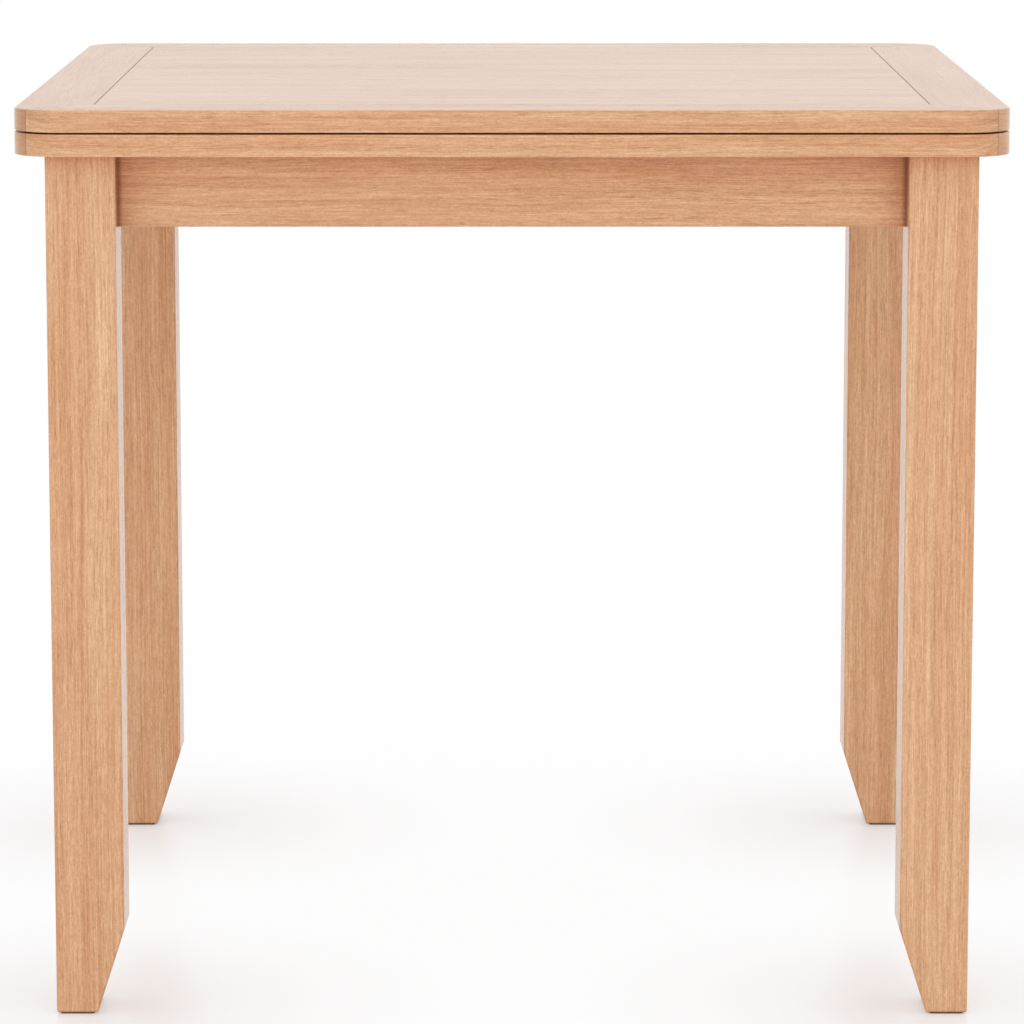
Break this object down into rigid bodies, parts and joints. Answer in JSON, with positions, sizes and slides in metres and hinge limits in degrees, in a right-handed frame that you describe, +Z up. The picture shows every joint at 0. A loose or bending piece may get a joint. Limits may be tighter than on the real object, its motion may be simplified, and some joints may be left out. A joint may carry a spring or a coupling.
{
  "type": "swivel extending table",
  "caption": "Square oak dining table whose two folded leaves turn a quarter turn on a pivot bolt and open out on link hinges to twice the length.",
  "frame": {"origin": "on the floor, under the centre of the closed top and of the frame", "axes": "+X to the right, +Y to the back, where the leaves are hinged while the table is closed, +Z up"},
  "size_m": [0.85, 0.85, 0.792],
  "materials": {
    "oak_top": "light natural oak under satin lacquer, grain left to right",
    "oak_end_rails": "light natural oak under satin lacquer, grain front to back",
    "oak_legs": "light natural oak under satin lacquer, grain upright",
    "oak_aprons": "light natural oak under satin lacquer, grain along the apron",
    "inner_wood": "planed plain hardwood, no lacquer",
    "beech_dowels": "plain beech",
    "zinc_steel": "bright zinc plated steel",
    "brass": "satin brass",
    "nylon": "natural white nylon",
    "soft_bumper": "soft translucent rubber",
    "felt": "dense brown wool felt"
  },
  "bodies": {
    "frame": {"apron_back": "oak_aprons", "apron_dowels": "beech_dowels", "apron_front": "oak_aprons", "apron_left": "oak_aprons", "apron_right": "oak_aprons", "corner_block_back_left": "inner_wood", "corner_block_back_right": "inner_wood", "corner_block_front_left": "inner_wood", "corner_block_front_right": "inner_wood", "corner_block_screws": "zinc_steel", "foot_pad_back_left": "felt", "foot_pad_back_right": "felt", "foot_pad_front_left": "felt", "foot_pad_front_right": "felt", "friction_washer": "nylon", "hanger_bolts": "zinc_steel", "hanger_nuts": "zinc_steel", "hanger_washers": "zinc_steel", "leaf_glides": "nylon", "leg_back_left": "oak_legs", "leg_back_right": "oak_legs", "leg_front_left": "oak_legs", "leg_front_right": "oak_legs", "pivot_bush": "nylon", "pivot_rail": "inner_wood", "rail_dowels": "beech_dowels", "support_rail": "inner_wood"},
    "lower_leaf": {"leaf_bumpers": "soft_bumper", "lock_nut": "zinc_steel", "lower_hinge_plate_left": "brass", "lower_hinge_plate_middle": "brass", "lower_hinge_plate_right": "brass", "lower_hinge_screws": "brass", "lower_leaf_back_rail": "oak_top", "lower_leaf_front_rail": "oak_top", "lower_leaf_left_rail": "oak_end_rails", "lower_leaf_panel": "oak_top", "lower_leaf_right_rail": "oak_end_rails", "pivot_bolt": "zinc_steel", "pressure_washer": "zinc_steel", "spring_washer": "zinc_steel", "stop_pin": "zinc_steel", "swivel_plate": "zinc_steel", "swivel_plate_screws": "zinc_steel"},
    "hinge_links": {"hinge_link_left": "brass", "hinge_link_middle": "brass", "hinge_link_right": "brass", "hinge_pins": "brass"},
    "upper_leaf": {"upper_hinge_plate_left": "brass", "upper_hinge_plate_middle": "brass", "upper_hinge_plate_right": "brass", "upper_hinge_screws": "brass", "upper_leaf_back_rail": "oak_top", "upper_leaf_front_rail": "oak_top", "upper_leaf_left_rail": "oak_end_rails", "upper_leaf_panel": "oak_top", "upper_leaf_right_rail": "oak_end_rails"}
  },
  "joints": [
    {"name": "top_swivel", "type": "hinge", "parent": "frame", "child": "lower_leaf", "pos_m": [0.213, 0.213, 0.7525], "axis": [0, 0, 1], "range_deg": [0, 90]},
    {"name": "link_fold", "type": "hinge", "parent": "lower_leaf", "child": "hinge_links", "pos_m": [0, 0.42175, 0.768], "axis": [-1, 0, 0], "range_deg": [0, 90]},
    {"name": "leaf_fold", "type": "hinge", "parent": "hinge_links", "child": "upper_leaf", "pos_m": [0, 0.42175, 0.7765], "axis": [-1, 0, 0], "range_deg": [0, 90]}
  ]
}
